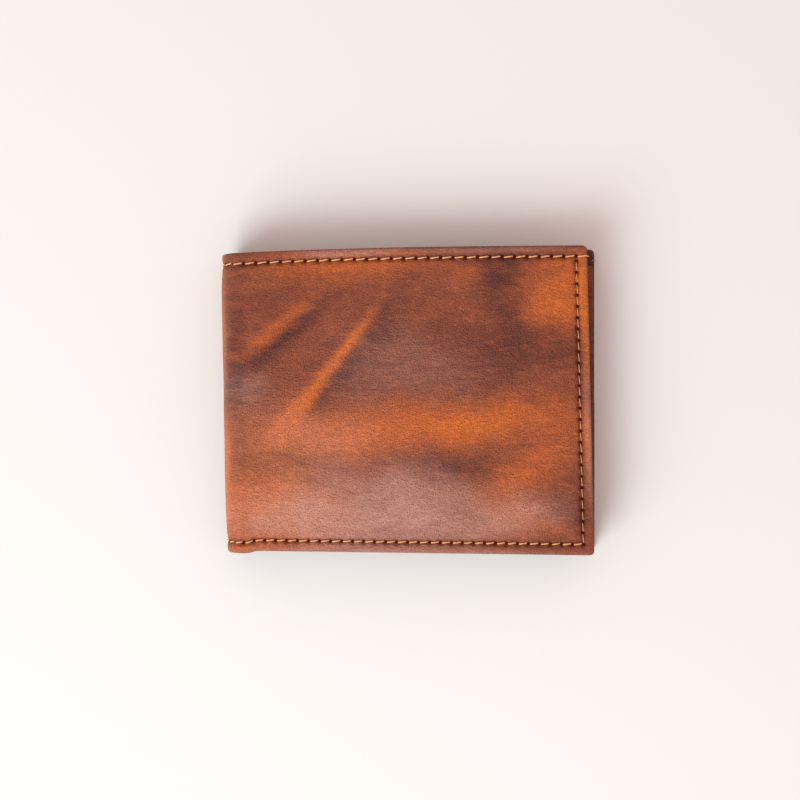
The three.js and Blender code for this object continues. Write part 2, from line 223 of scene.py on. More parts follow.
def cover_leather():
    """Waxed pull-up leather: orange where it is stretched, smoky brown where the wax lies, with painted
    sheen and painted shade.
    """
    g = Graph("cover_leather")
    smoke = g.attribute("smoke")
    glow = g.attribute("glow")
    cloud = g.noise(g.place(), 0.05, 5.0, 0.6)
    streak = g.noise(g.place((1, 3.5, 1), 0.35), 0.14, 6.0, 0.68)
    wrinkle = g.noise(g.place((0.7, 2.0, 1)), 0.8, 4.0, 0.72)
    pores = g.noise(g.place((0.7, 2.1, 1)), 1.3, 3.0, 0.75)
    uneven = g.math("SUBTRACT", streak, 0.5)
    colour = g.mix(g.ramp(cloud, 0.3, 0.7), rgb(136, 62, 36), rgb(152, 73, 41))
    dark = g.math("ADD", smoke, g.math("MULTIPLY", uneven, -0.9), clamp=True)
    colour = g.mix(dark, colour, rgb(88, 32, 16))
    bright = g.math("ADD", glow, g.math("MULTIPLY", uneven, 0.7), clamp=True)
    colour = g.mix(bright, colour, rgb(214, 104, 26))
    # painted sheen: a pale pinkish wash where the lamp's reflection would lie on the leather
    sheen_share = g.math("MULTIPLY", g.attribute("painted_sheen"), g.ramp(streak, -0.25, 0.70))
    colour = g.mix(sheen_share, colour, rgb(206, 151, 135))
    pore_shade = g.math("MULTIPLY", g.ramp(pores, 0.40, 0.66), 0.22)
    ridge_light = g.math("MULTIPLY", g.ramp(wrinkle, 0.44, 0.70), 0.40)
    plain = g.math("SUBTRACT", 1.0, g.math("MULTIPLY", sheen_share, 0.6))
    # painted light and shade of the grain: lighter on the raised wrinkles, darker in the pores
    tone = g.math("ADD", 0.97, g.math("MULTIPLY", g.math("SUBTRACT", ridge_light, pore_shade), plain))
    colour = g.mix(1.0, colour, tone, blend="MULTIPLY")
    holes = stitch_spots(g, HOLE_FADE)
    dimples = stitch_spots(g, DIMPLE_FADE)
    # painted shade in the needle holes and in the dip of pulled leather round each
    colour = g.mix(g.math("MULTIPLY", dimples, 0.28), colour, rgb(96, 36, 18))
    colour = g.mix(g.math("MULTIPLY", holes, 0.95), colour, rgb(92, 26, 6))
    colour = g.mix(g.attribute("edge"), colour, rgb(84, 38, 24))
    rough = g.math("ADD", 0.40, g.math("MULTIPLY", g.math("SUBTRACT", pores, 0.5), 0.25))
    rough = g.math("ADD", rough, g.math("MULTIPLY", holes, 0.3))
    grain = g.bump(leather_grain(g, 0.8), 0.36)
    folds = g.bump(wrinkle, 0.44, grain)
    pull = g.math("ADD", g.math("MULTIPLY", holes, 0.6), dimples)
    pits = g.bump(g.math("SUBTRACT", 1.0, pull), 0.4, folds)
    solid = g.math("SUBTRACT", 1.0, holes)  # the holes don't shine
    g.feed(g.shader.inputs["Specular IOR Level"], g.math("MULTIPLY", solid, 0.4))
    g.feed(g.shader.inputs["Coat Weight"], g.math("MULTIPLY", solid, 0.12))
    g.shader.inputs["Coat Roughness"].default_value = 0.34
    return g.finish(base_color=colour, roughness=rough, normal=pits)


def pocket_leather():
    """Smooth leather of one even brown, for the card pockets and the inner walls."""
    g = Graph("pocket_leather")
    cloud = g.noise(g.place((1, 2.2, 1), 0.2), 0.035, 6.0, 0.62)
    pores = g.noise(g.place(), 1.6, 3.0, 0.75)
    wrinkle = g.noise(g.place((1, 1.8, 1)), 0.7, 4.0, 0.7)
    colour = g.mix(g.ramp(cloud, 0.25, 0.75), rgb(122, 58, 32), rgb(144, 72, 40))
    pore_shade = g.math("MULTIPLY", g.ramp(pores, 0.42, 0.66), -0.26)
    ridge_light = g.math("MULTIPLY", g.ramp(wrinkle, 0.46, 0.70), 0.20)
    # painted light and shade of the grain: lighter on the raised wrinkles, darker in the pores
    tone = g.math("ADD", 1.0, g.math("ADD", pore_shade, ridge_light))
    colour = g.mix(1.0, colour, tone, blend="MULTIPLY")
    colour = g.mix(g.attribute("edge"), colour, rgb(56, 26, 16))
    rough = g.math("ADD", 0.44, g.math("MULTIPLY", pores, 0.14))
    grain = g.bump(leather_grain(g, 0.7), 0.22)
    return g.finish(base_color=colour, roughness=rough, normal=g.bump(wrinkle, 0.24, grain))


def lining_cloth():
    """A fine plain weave."""
    g = Graph("lining_cloth")
    warp = g.node("ShaderNodeTexWave", {"Vector": g.place(), "Scale": 1.1}, bands_direction="X")
    weft = g.node("ShaderNodeTexWave", {"Vector": g.place(), "Scale": 1.1}, bands_direction="Y")
    weave = g.math("MAXIMUM", warp.outputs["Fac"], weft.outputs["Fac"])
    fuzz = g.noise(g.place(), 1.5)
    colour = g.mix(g.math("MULTIPLY", weave, 0.6), rgb(58, 32, 22), rgb(96, 56, 38))
    colour = g.mix(g.math("MULTIPLY", fuzz, 0.3), colour, rgb(66, 38, 26))
    material = g.finish(base_color=colour, roughness=0.9, normal=g.bump(weave, 0.06))
    g.shader.inputs["Sheen Weight"].default_value = 0.2
    return material


def waxed_thread():
    g = Graph("waxed_thread")
    fibre = g.noise(g.place(), 6.0, 2.0)
    colour = g.mix(g.ramp(fibre, 0.35, 0.7), rgb(218, 144, 84), rgb(246, 192, 136))
    return g.finish(base_color=colour, roughness=0.5, normal=g.bump(fibre, 0.03))


def clear_film():
    g = Graph("clear_film")
    scuff = g.noise(g.place(), 0.08)
    rough = g.math("ADD", 0.08, g.math("MULTIPLY", scuff, 0.12))
    return g.finish(base_color=rgb(206, 212, 214), roughness=rough, alpha=0.08)


def floor_paper():
    g = Graph("floor_paper")
    tone = g.noise(g.node("ShaderNodeTexCoord").outputs["Object"], 3.0)
    return g.finish(base_color=g.mix(tone, (0.84, 0.815, 0.80, 1), (0.86, 0.835, 0.82, 1)), roughness=0.75)


COVER = cover_leather()
POCKET = pocket_leather()
LINING = lining_cloth()
THREAD = waxed_thread()
FILM = clear_film()


# ---- making meshes ----

WELD_DISTANCE = 2e-6  # metres
SMOOTH_ANGLE = 50  # edges that turn by more than this, in degrees, stay sharp


def make_piece(name, points, faces, material, attributes=None, weld=True):
    """A mesh object from points in millimetres, with vertex attributes, smooth but for its corners."""
    mesh = bpy.data.meshes.new(name)
    mesh.from_pydata((np.asarray(points) * MM).tolist(), [], [list(f) for f in faces])
    for key, values in (attributes or {}).items():
        values = np.asarray(values, float)
        kind = "FLOAT_VECTOR" if values.ndim == 2 else "FLOAT"
        layer = mesh.attributes.new(key, kind, "POINT")
        layer.data.foreach_set("vector" if values.ndim == 2 else "value", values.astype(np.float32).ravel())
    if weld:
        work = bmesh.new()
        work.from_mesh(mesh)
        bmesh.ops.remove_doubles(work, verts=work.verts, dist=WELD_DISTANCE)
        bmesh.ops.recalc_face_normals(work, faces=work.faces)
        work.to_mesh(mesh)
        work.free()
    mesh.materials.append(material)
    mesh.polygons.foreach_set("use_smooth", [True] * len(mesh.polygons))
    mesh.set_sharp_from_angle(angle=math.radians(SMOOTH_ANGLE))
    piece = bpy.data.objects.new(name, mesh)
    bpy.context.scene.collection.objects.link(piece)
    return piece


def grid_faces(rows, columns, start=0, flip=False):
    """Quads of a grid whose points are stored row by row."""
    faces = []
    for i in range(rows - 1):
        for j in range(columns - 1):
            a = start + i * columns + j
            quad = (a, a + 1, a + columns + 1, a + columns)
            faces.append(quad[::-1] if flip else quad)
    return faces


def first_row_faces(columns, offset):
    """Quads that join the first rows of two grids, the second stored `offset` points later."""
    return [(j, j + 1, j + 1 + offset, j + offset) for j in range(columns - 1)]


EDGE_LINES = (0.0, 0.05, 0.16, 0.34, 0.6)  # grid lines over the rounded edge of a sheet 1.2 mm thick


def graded(low, high, step, half, round_low=True):
    """Grid lines from low to high, closer together at the rounded edges of a sheet twice `half` thick."""
    edge = [e * half / EDGE_LINES[-1] for e in EDGE_LINES]
    start = [low + e for e in edge] if round_low else [low]
    stop = [high - e for e in reversed(edge)]
    inner_low, inner_high = start[-1], stop[0]
    count = max(2, int(round((inner_high - inner_low) / step)))
    middle = np.linspace(inner_low, inner_high, count + 1)[1:-1]
    return np.array([*start, *middle, *stop])


# ---- the shape of a leaf ----

SPINE_SAG = 0.45  # the spine draws in by this at its middle
SPINE_LEAN = 1.1  # and by this more at its lower end than at its upper one
SAG_REACH = 16  # how far from the spine the leaf is still drawn in
UPPER_RISE = 1.8  # the upper edge climbs from the spine to the free edge
LOWER_DROP = 2.3
UPPER_AT_SPINE = SPINE_HALF_HEIGHT - 0.4
LOWER_AT_SPINE = SPINE_HALF_HEIGHT + 0.1
TUCK_DEPTH = 0.75  # the turned corner beside the spine bulges below the lower edge
TUCK_X = SPINE_X + 5.0
TUCK_WIDTH = 4.2


def drawn_in(y):
    """How far the spine is drawn in at height y."""
    share = y / SPINE_HALF_HEIGHT
    return SPINE_SAG * (1 - share ** 2) + SPINE_LEAN * (1 - share) / 2


def wrap(side, s, y, depth):
    """A place on a leaf: s runs along the cover's outer face from mid spine, and depth goes inwards."""
    s, y, depth = np.broadcast_arrays(*(np.asarray(v, float) for v in (s, y, depth)))
    radius = BEND_RADIUS - depth
    turn = np.clip((s - SPINE_HALF) / BEND_RADIUS, 0, math.pi / 2)
    x = BEND_X - radius * np.cos(turn) + np.maximum(s - FLAT_START, 0)
    z = BEND_RADIUS - radius * np.sin(turn) + np.maximum(SPINE_HALF - s, 0)
    x = x + drawn_in(y) * np.clip(1 - (x - SPINE_X) / SAG_REACH, 0, 1) ** 2
    if side == "front":
        z = THICKNESS - z
    return np.stack([x, y, z], axis=-1)


def along_leaf(x):
    """0 at the spine and 1 at the back leaf's free edge."""
    return np.clip((x - SPINE_X) / (BACK_REACH - SPINE_X), 0, 1)


def upper_y(x):
    return UPPER_AT_SPINE + UPPER_RISE * (1 - (1 - along_leaf(x)) ** 3)


def lower_y(x):
    tuck = TUCK_DEPTH * np.exp(-((x - TUCK_X) / TUCK_WIDTH) ** 4)
    return -(LOWER_AT_SPINE + LOWER_DROP * along_leaf(x) + tuck)


def x_of(s):
    """Flat x for a place s along the cover, good enough on the bend for edges and colour."""
    return np.where(s > FLAT_START, BEND_X + (s - FLAT_START), SPINE_X + BEND_RADIUS * s / FLAT_START)


def free_x(side, y):
    low, high = REACH[side]
    return low + (high - low) * (y + FREE_HALF_HEIGHT) / (2 * FREE_HALF_HEIGHT)


def round_corner(x, y, corner_x, corner_y, radius):
    """Pulls points near a square outer corner in to a rounded one."""
    sign = math.copysign(1, np.mean(corner_y))
    a = (x - (corner_x - radius)) / radius
    b = (y * sign - (np.abs(corner_y) - radius)) / radius
    near = (a > 0) & (b > 0)
    pulled_a = a * np.sqrt(np.maximum(1 - b * b / 2, 0))
    pulled_b = b * np.sqrt(np.maximum(1 - a * a / 2, 0))
    new_x = np.where(near, corner_x - radius + pulled_a * radius, x)
    new_y = np.where(near, sign * (np.abs(corner_y) - radius + pulled_b * radius), y)
    return new_x, new_y


# ---- colour and relief of the covers ----

# Soft strokes on the front cover, in millimetres: (x0, y0, x1, y1, half width, strength)
FRONT_SMOKE = [
    (-52.5, 6.5, -24.0, 30.5, 3.0, 0.85),
    (-36.0, -8.5, -19.0, 10.0, 3.0, 0.85),
    (-22.0, 8.0, -4.0, 29.0, 6.0, 0.60),
    (-6.0, 22.0, 36.0, 19.0, 9.0, 0.30),
    (-14.0, 8.0, 16.0, 8.0, 7.0, 0.30),
    (24.5, 39.5, 33.0, 37.0, 5.4, 0.80),
    (27.0, 33.0, 30.0, 24.0, 5.0, 0.40),
    (22.0, 12.0, 53.0, 14.5, 6.5, 0.60),
    (40.0, 22.0, 53.0, 22.0, 3.0, 0.30),
    (3.0, -20.5, 25.0, -20.0, 4.6, 0.75),
    (-48.0, -18.0, -31.5, -17.5, 3.0, 0.75),
    (-51.9, 40.0, -52.2, -6.0, 1.8, 0.55),
    (-52.4, -6.0, -52.4, -38.0, 1.4, 0.55),
    (-55.0, 1.0, -42.0, 5.0, 4.5, 0.40),
    (46.0, -31.0, 52.0, -38.0, 4.5, 0.50),
    (-51.5, -39.0, -47.5, -40.0, 1.5, 0.45),
    (-4.0, 45.2, 26.0, 45.9, 1.0, 0.60),
]
FRONT_GLOW = [
    (-50.5, 14.0, -29.0, 31.0, 2.1, 0.62),
    (-42.0, -12.0, -30.0, 2.0, 2.6, 0.75),
    (-34.0, -3.0, -10.5, 28.0, 2.0, 1.00),
    (-50.0, -9.5, 50.0, -7.0, 6.5, 0.76),
    (4.0, -6.0, 52.0, -2.0, 5.0, 0.30),
    (-44.0, -12.0, -4.0, -13.0, 5.0, 0.32),
    (-53.0, -34.0, -26.0, -33.0, 12.0, 1.00),
    (26.0, -30.0, 46.0, -14.0, 7.0, 0.55),
    (22.0, -36.0, 44.0, -38.0, 5.0, 0.35),
    (42.0, 28.0, 52.0, 39.0, 7.5, 0.85),
    (36.0, 26.0, 48.0, 25.0, 4.0, 0.30),
    (-46.0, 40.5, 8.0, 41.5, 4.2, 0.68),
    # painted highlights where the rounded spine edge and the rim beside the free edge catch the light
    (-54.6, 38.0, -54.6, 0.0, 1.0, 0.60),
    (-54.6, -4.0, -54.6, -36.0, 1.3, 1.00),
    (52.0, 40.0, 54.0, 4.0, 2.4, 0.85),
    (52.0, -2.0, 54.0, -24.0, 2.4, 0.60),
    (36.0, 40.5, 50.0, 42.0, 2.0, 0.40),
    (14.0, 37.5, 19.0, 39.0, 3.0, 0.35),
]
# Painted sheen on the front cover: pale washes where the lamp's reflection lies, also along the rims
FRONT_PAINTED_SHEEN = [
    (-34.0, -37.0, 20.0, -36.5, 9.5, 0.82),
    (-50.0, -35.0, -28.0, -34.0, 7.5, 0.42),
    (-28.0, -23.0, -4.0, -26.0, 6.0, 0.30),
    (-4.0, -25.0, 18.0, -27.0, 6.0, 0.40),
    (-18.0, 11.0, 14.0, 8.0, 10.0, 0.22),
    (-50.0, -11.0, -14.0, -11.0, 9.0, 0.24),
    (-50.0, 3.5, -45.0, 4.5, 4.5, 0.32),
    (-52.0, -36.5, -40.0, -38.0, 3.0, 0.22),
    (22.0, -37.0, 44.0, -33.0, 6.0, 0.42),
    (52.5, 10.0, 54.0, -34.0, 1.4, 0.40),
    (-52.0, -45.8, 50.0, -46.8, 1.1, 0.70),
    (-36.0, 43.6, -2.0, 44.6, 1.4, 0.62),
    (-4.0, 44.5, 50.0, 45.0, 1.2, 0.36),
]
# Folds in the leather: ridges where the strength is above 0, valleys below
FRONT_FOLDS = [
    (-50.5, 14.0, -29.0, 31.0, 2.2, 0.30),
    (-52.5, 7.5, -25.0, 30.0, 2.6, -0.30),
    (-42.0, -12.0, -30.0, 2.0, 2.4, 0.36),
    (-34.0, -3.0, -10.5, 28.0, 1.9, 0.42),
    (-37.0, -7.0, -9.0, 23.0, 2.8, -0.34),
    (-44.0, -10.4, 30.0, -7.0, 6.0, 0.22),
    (10.0, -20.0, 30.0, -20.0, 6.0, -0.18),
]


def strokes(marks, x, y):
    """Sum of soft strokes, each fading across its width and off its ends; only wide ones wander."""
    total = np.zeros_like(x)
    sway_x = 1.3 * np.sin(y * 0.21 + 0.7) + 0.7 * np.sin(x * 0.33 - y * 0.41)
    sway_y = 1.1 * np.sin(x * 0.17 - 1.1) + 0.6 * np.sin(x * 0.39 + y * 0.27)
    for x0, y0, x1, y1, width, strength in marks:
        sway = min(width / 7.0, 1.0) ** 1.5
        wx, wy = x + sway * sway_x, y + sway * sway_y
        run = np.hypot(x1 - x0, y1 - y0)
        ux, uy = (x1 - x0) / run, (y1 - y0) / run
        share = ((wx - x0) * ux + (wy - y0) * uy) / run
        across = (wx - x0) * uy - (wy - y0) * ux
        reach = 0.5 + 0.9 * width / run
        fade = np.exp(-(np.abs(share - 0.5) / reach) ** 3 * 1.6)
        body = 1.25 - 0.5 * np.clip(share, 0, 1)
        total += strength * fade * np.exp(-((across / (width * body)) ** 2))
    return total


def random_strokes(count, seed, strength):
    """Strokes for the back cover, leaning one way as a hide's pull-up does."""
    rng = np.random.default_rng(seed)
    marks = []
    for _ in range(count):
        x = rng.uniform(SPINE_X, BACK_REACH)
        y = rng.uniform(-40, 40)
        run = rng.uniform(12, 46)
        lean = rng.uniform(-0.25, 0.6)
        width = rng.uniform(2.2, 8.0)
        own_strength = strength * rng.uniform(0.6, 1.2)
        marks.append((x, y, x + run * math.cos(lean), y + run * math.sin(lean), width, own_strength))
    return marks


COVER_MARKS = {
    "front": {"smoke": FRONT_SMOKE, "glow": FRONT_GLOW, "painted_sheen": FRONT_PAINTED_SHEEN, "folds": FRONT_FOLDS},
    "back": {
        "smoke": random_strokes(13, SEED, 0.60),
        "glow": random_strokes(11, SEED + 1, 0.80),
        # painted sheen, in random strokes on the back cover
        "painted_sheen": random_strokes(3, SEED + 3, 0.35),
        "folds": random_strokes(6, SEED + 2, 0.14),
    },
}


def inset_from_edges(side, x, y):
    """Distance in from the leaf's upper, lower and free edges."""
    return upper_y(x) - y, y - lower_y(x), free_x(side, y) - x


def smooth(share):
    """0 up to 0 and 1 from 1, with a soft passage between."""
    share = np.clip(share, 0, 1)
    return share * share * (3 - 2 * share)


SPINE_BLEND = 3.0  # both halves of the cover look the same at the spine, and each its own from here on


def off_spine(x):
    """0 at the middle of the spine, where both halves of the cover meet, and 1 from a little further on."""
    return smooth((x - SPINE_X) / SPINE_BLEND)


SEAM_VALLEY = 0.30  # depth of the leather drawn in along a seam
PILLOW = 0.9  # the leaf bulges by this between its seams
PILLOW_REACH = 6.5
FOLD_REACH = 8.0  # folds rise to their full height this far from an edge


def cover_relief(side, x, y):
    """How far the cover's outer face stands out from its plain level, in millimetres."""
    top, bottom, free = inset_from_edges(side, x, y)
    near = np.minimum(np.minimum(top, bottom), free)
    valley = -SEAM_VALLEY * np.exp(-((near - SEAM_INSET) / 0.75) ** 2)
    rim = 0.12 * np.exp(-((near - 1.5) / 0.9) ** 2)
    pillow = PILLOW * (1 - np.exp(-np.maximum(near - SEAM_INSET, 0) / PILLOW_REACH))
    own = off_spine(x)
    folds = strokes(COVER_MARKS[side]["folds"], x, y) * np.clip(near / FOLD_REACH, 0, 1) * own
    tuck = 0.3 * np.exp(-((x - SPINE_X - 6.0) / 4.0) ** 2 - ((bottom - 2.0) / 3.0) ** 2)
    waver = 0.05 * np.sin(x * 0.31 + y * 0.12) * np.sin(y * 0.23 - x * 0.05)
    relief = valley + rim + pillow + folds + tuck + waver
    if side == "back":  # this leaf is pressed flat by the table
        flat = np.minimum(0.5 * relief - 0.45 + 0.5 * valley, 0)
        relief = relief + (flat - relief) * own
    return relief


# ---- sheets that follow the leaf, the bend and half of the spine ----

def edge_drop(distance, half):
    """How much a face falls away towards the middle of the sheet, near a rounded edge."""
    inside = np.clip(distance, 0, half)
    return half - np.sqrt(np.maximum(half * half - (half - inside) ** 2, 0))


GRID_SPAN = 100  # a grid's own length, which is stretched to the width or height of its piece
EDGE_BAND = 1  # grid lines this near to an edge keep their distance from it


def spread(place, low, high, span=GRID_SPAN):
    """Grid lines from 0 to span laid between two edges, stretched in the middle but not at the edges."""
    laid = low + place * (high - low) / span
    laid = np.where(place < EDGE_BAND, low + place, laid)
    return np.where(place > span - EDGE_BAND, high - (span - place), laid)


COVER_CORNER = 1.5  # radius of a leaf's outer corners


def fold_sheet(name, side, outer, inner, material, step, inset=0.0, drop=0.0, relief=None):
    """A sheet between two depths of a leaf, from the middle of the spine to the free edge."""
    half = (inner - outer) / 2
    run = FLAT_START + BACK_REACH - BEND_X
    s_lines = graded(0, run, step, half, round_low=False)
    v_lines = graded(0, GRID_SPAN, step, half)
    rows, columns = len(s_lines), len(v_lines)
    s_grid, v_grid = np.meshgrid(s_lines, v_lines, indexing="ij")
    x_grid = x_of(s_grid)
    top = upper_y(x_grid) - inset - drop
    low = lower_y(x_grid) + inset
    y_grid = spread(v_grid, low, top)
    reach = free_x(side, y_grid) - inset
    stretch = (reach - BEND_X) / (BACK_REACH - BEND_X)
    s_stretched = np.minimum(s_grid, FLAT_START) + np.maximum(s_grid - FLAT_START, 0) * stretch
    from_end = run - s_grid
    s_place = np.where(from_end < EDGE_BAND, FLAT_START + reach - BEND_X - from_end, s_stretched)
    x_place = x_of(s_place)
    near = np.minimum(np.minimum(top - y_grid, y_grid - low), reach - x_place)
    x_round, y_round = x_place, y_grid
    for corner_y in (top, low):
        x_round, y_round = round_corner(x_round, y_round, reach, corner_y, COVER_CORNER)
    s_round = s_place + (x_round - x_place)
    fall = edge_drop(near, half)
    rise = relief(side, x_place, y_grid) if relief else 0.0
    outer_points = wrap(side, s_round, y_round, outer + fall - rise)
    inner_points = wrap(side, s_round, y_round, inner - fall)
    points = np.concatenate([outer_points.reshape(-1, 3), inner_points.reshape(-1, 3)])
    count = rows * columns
    faces = grid_faces(rows, columns) + grid_faces(rows, columns, count, flip=True)
    faces += first_row_faces(columns, count)
    attributes = sheet_attributes(side, x_place, y_grid, near, half)
    return make_piece(name, points, faces, material, attributes)


def both_faces(values):
    return np.concatenate([values.ravel(), values.ravel()])


NO_SEAM = (0, 50, 0)  # a seam's attribute on the inner face: far from it, and masked out


def sheet_attributes(side, x, y, near, half):
    """Colour and seam attributes of a sheet's two faces; only the outer one has needle holes."""
    marks = COVER_MARKS[side]
    top, bottom, free = inset_from_edges(side, x, y)
    from_seam = np.minimum(np.minimum(top, bottom), free) - SEAM_INSET
    pressed = 0.45 * np.exp(-((from_seam / 0.9) ** 2))  # painted shade in the valley that the thread's pull makes beside the seam
    own = off_spine(x)
    spine_glow = 0.45 + 0.35 * np.sin(y * 0.07 - 1.3)
    smoke = np.clip(strokes(marks["smoke"], x, y) * own + 0.25 * (1 - own) + pressed, 0, 1)
    glow = np.clip(strokes(marks["glow"], x, y) * own + spine_glow * (1 - own) - pressed, 0, 1)
    # painted sheen, kept off the seam's valley
    painted_sheen = np.clip(strokes(marks["painted_sheen"], x, y) * own - pressed, 0, 1)
    edge = 0.55 * np.exp(-((near / (0.45 * half + 0.1)) ** 2))
    long_side = np.minimum(top, bottom) - SEAM_INSET
    upper = top < bottom
    seam_end = np.where(upper, seam_end_x(side, "top"), seam_end_x(side, "bottom"))
    along = (seam_end - x) / np.where(upper, LONG_STITCH["top"], LONG_STITCH["bottom"])
    along_free = (y - lower_y(x) - SEAM_INSET) / STITCH
    in_long = (free > SEAM_INSET - 0.5).astype(float)
    in_free = ((top > SEAM_INSET - 0.5) & (bottom > SEAM_INSET - 0.5)).astype(float)
    seam_long = np.stack([along, long_side, in_long], axis=-1).reshape(-1, 3)
    seam_free = np.stack([along_free, free - SEAM_INSET, in_free], axis=-1).reshape(-1, 3)
    blank = np.zeros_like(seam_long) + np.array(NO_SEAM)
    return {
        "smoke": both_faces(smoke),
        "glow": both_faces(glow),
        "painted_sheen": both_faces(painted_sheen),
        "edge": both_faces(edge),
        "seam_long": np.concatenate([seam_long, blank]),
        "seam_free": np.concatenate([seam_free, blank]),
    }


def seam_end_x(side, edge):
    """Where a long seam meets the free seam."""
    return REACH[side][1 if edge == "top" else 0] - SEAM_INSET


# ---- stitches ----

STITCH_RINGS = 9
STITCH_SIDES = 8
STITCH_END = 0.10  # share of a stitch from a hole's middle to the thread's end in it
ARCH_START = 0.06  # the thread's arch starts a little before its end
ARCH_FOOT = -0.62  # at this height
ARCH_RISE = 0.80
STITCH_LEAN = 0.50  # slant of a stitch across its seam
PLY_DEPTH = 0.14  # share of the radius by which the two plies stand out
PLY_TWIST = 7.5  # radians in one stitch
PLY_SHIFT = 0.9  # radians from one stitch to the next
END_TAPER = 0.8


def stitch_line():
    """One stitch: each ring's share of the pitch, its place across and its height over the leather."""
    u = np.linspace(STITCH_END, 1 - STITCH_END, STITCH_RINGS)
    arch = np.sin((u - ARCH_START) / (1 - 2 * ARCH_START) * math.pi) ** 0.5
    return u, (u - 0.5) * STITCH_LEAN, ARCH_FOOT + ARCH_RISE * arch


def stitch_tube(place, pitch, hole, phase):
    """A two-ply stitch from its first hole on. `place(u, v, height)` puts points on the seam."""
    u, lean, height = stitch_line()
    angles = np.linspace(0, 2 * math.pi, STITCH_SIDES, endpoint=False)
    ring_u, ring_v, ring_h = [], [], []
    for k in range(STITCH_RINGS):
        ply = 1 + PLY_DEPTH * np.cos(2 * (angles - u[k] * PLY_TWIST - phase))
        taper = 1.0 if 0 < k < STITCH_RINGS - 1 else END_TAPER
        radius = THREAD_RADIUS * taper * ply
        ring_u.append(np.full(STITCH_SIDES, hole + u[k] * pitch))
        ring_v.append(lean[k] + radius * np.cos(angles))
        ring_h.append(height[k] + radius * np.sin(angles))
    return place(np.concatenate(ring_u), np.concatenate(ring_v), np.concatenate(ring_h))


def stitch_faces(start):
    faces = []
    for k in range(STITCH_RINGS - 1):
        for j in range(STITCH_SIDES):
            a = start + k * STITCH_SIDES + j
            b = start + k * STITCH_SIDES + (j + 1) % STITCH_SIDES
            faces.append((a, b, b + STITCH_SIDES, a + STITCH_SIDES))
    faces.append(tuple(start + j for j in range(STITCH_SIDES))[::-1])
    last = start + (STITCH_RINGS - 1) * STITCH_SIDES
    faces.append(tuple(last + j for j in range(STITCH_SIDES)))
    return faces


def seam_piece(name, place, holes, pitch):
    """A row of stitches joined in one piece; `holes` are the places of each stitch's first hole."""
    points, faces = [], []
    for i, hole in enumerate(holes):
        faces += stitch_faces(len(points) * STITCH_RINGS * STITCH_SIDES)
        points.append(stitch_tube(place, pitch, hole, i * PLY_SHIFT))
    return make_piece(name, np.concatenate(points), faces, THREAD, weld=False)


def long_seam(side, edge):
    """Stitches along a leaf's upper or lower edge, over the bend, and on to the middle of the spine."""
    stitch = LONG_STITCH[edge]
    full = seam_end_x(side, edge) - BEND_X + FLAT_START
    count = int(full / stitch)

    def place(u, v, height):
        s = full - u
        x = x_of(s)
        y = upper_y(x) - SEAM_INSET if edge == "top" else lower_y(x) + SEAM_INSET
        level = cover_relief(side, x, y) + THREAD_LIFT
        return wrap(side, s, y - v, -(level + height))

    first = -1 if edge == "top" else 0  # the upper seam runs on to the free edge
    holes = [i * stitch for i in range(first, count)]
    return seam_piece(f"{side}_{edge}_stitches", place, holes, stitch)


LOOP_TURN = 1.6 * math.pi  # how far the corner stitch goes round the cover's edge
LOOP_RADIUS = 0.70
LOOP_STRETCH = 1.15  # the loop is wider than it is high
LOOP_INSET = 0.62  # its middle, in from the free edge
LOOP_DEPTH = 0.9


def corner_wrap(side):
    """The last stitch of the upper seam, which goes round the cover's free edge."""
    def place(u, v, height):
        turn = (u / STITCH - 0.5) * LOOP_TURN
        radius = LOOP_RADIUS + height
        y = upper_y(BACK_REACH) - SEAM_INSET + v * 0.5
        x = free_x(side, y) - LOOP_INSET + radius * np.cos(turn) * LOOP_STRETCH
        return wrap(side, FLAT_START + x - BEND_X, y, LOOP_DEPTH - radius * np.sin(turn))

    return seam_piece(f"{side}_corner_stitch", place, [0.0], STITCH)


def free_seam(side):
    """Stitches along a leaf's free edge."""
    x_seam = min(REACH[side]) - SEAM_INSET
    low = lower_y(x_seam) + SEAM_INSET
    high = upper_y(x_seam) - SEAM_INSET
    count = int((high - low) / STITCH)

    def place(u, v, height):
        y = low + u
        x = free_x(side, y) - SEAM_INSET
        level = cover_relief(side, x, y) + THREAD_LIFT
        return wrap(side, FLAT_START + x - 0.5 * v - BEND_X, y, -(level + height))

    return seam_piece(f"{side}_edge_stitches", place, [i * STITCH for i in range(count)], STITCH)


# ---- building the leaves ----

COVER_THICKNESS = 1.2
COVER_STEP = 0.6  # grid step
SHEET_STEP = 2.0
SHEET_LEVELS = {  # outer and inner depth, inset and drop of each sheet behind the cover, as in the frame
    "lining": (1.3, 1.6, 0.4, 0.0, LINING),
    "note_divider": (2.1, 2.4, 0.4, 2.5, LINING),
    "inner_wall": (2.9, 3.3, 0.4, 4.5, POCKET),
}
BEND_ENDS = {
    "back": ((BEND_X * MM, 0, 0), (SPINE_X * MM, 0, BEND_RADIUS * MM)),
    "front": ((SPINE_X * MM, 0, (THICKNESS - BEND_RADIUS) * MM), (BEND_X * MM, 0, THICKNESS * MM)),
}


def bend_with_leaf(piece, side):
    """Bakes the piece's placement into its mesh."""
    start, end = BEND_ENDS[side]
    if side == "back":
        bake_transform(piece)
        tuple(start)
        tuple(end)
    else:
        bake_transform(piece)
        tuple(start)
        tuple(end)


def build_cover(side):
    skin = f"{side}_cover_skin"
    cover = fold_sheet(skin, side, 0.0, COVER_THICKNESS, COVER, COVER_STEP, relief=cover_relief)
    bend_with_leaf(cover, side)
    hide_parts(f"{side}_cover", "spine_cover")
    for edge in ("top", "bottom"):
        seam = long_seam(side, edge)
        bend_with_leaf(seam, side)
        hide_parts(f"{side}_{edge}_thread", f"spine_{edge}_thread")
    wrapped = corner_wrap(side)
    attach(wrapped, f"{side}_leaf")
    seam = free_seam(side)
    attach(seam, f"{side}_leaf")
    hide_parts(f"{side}_edge_thread")


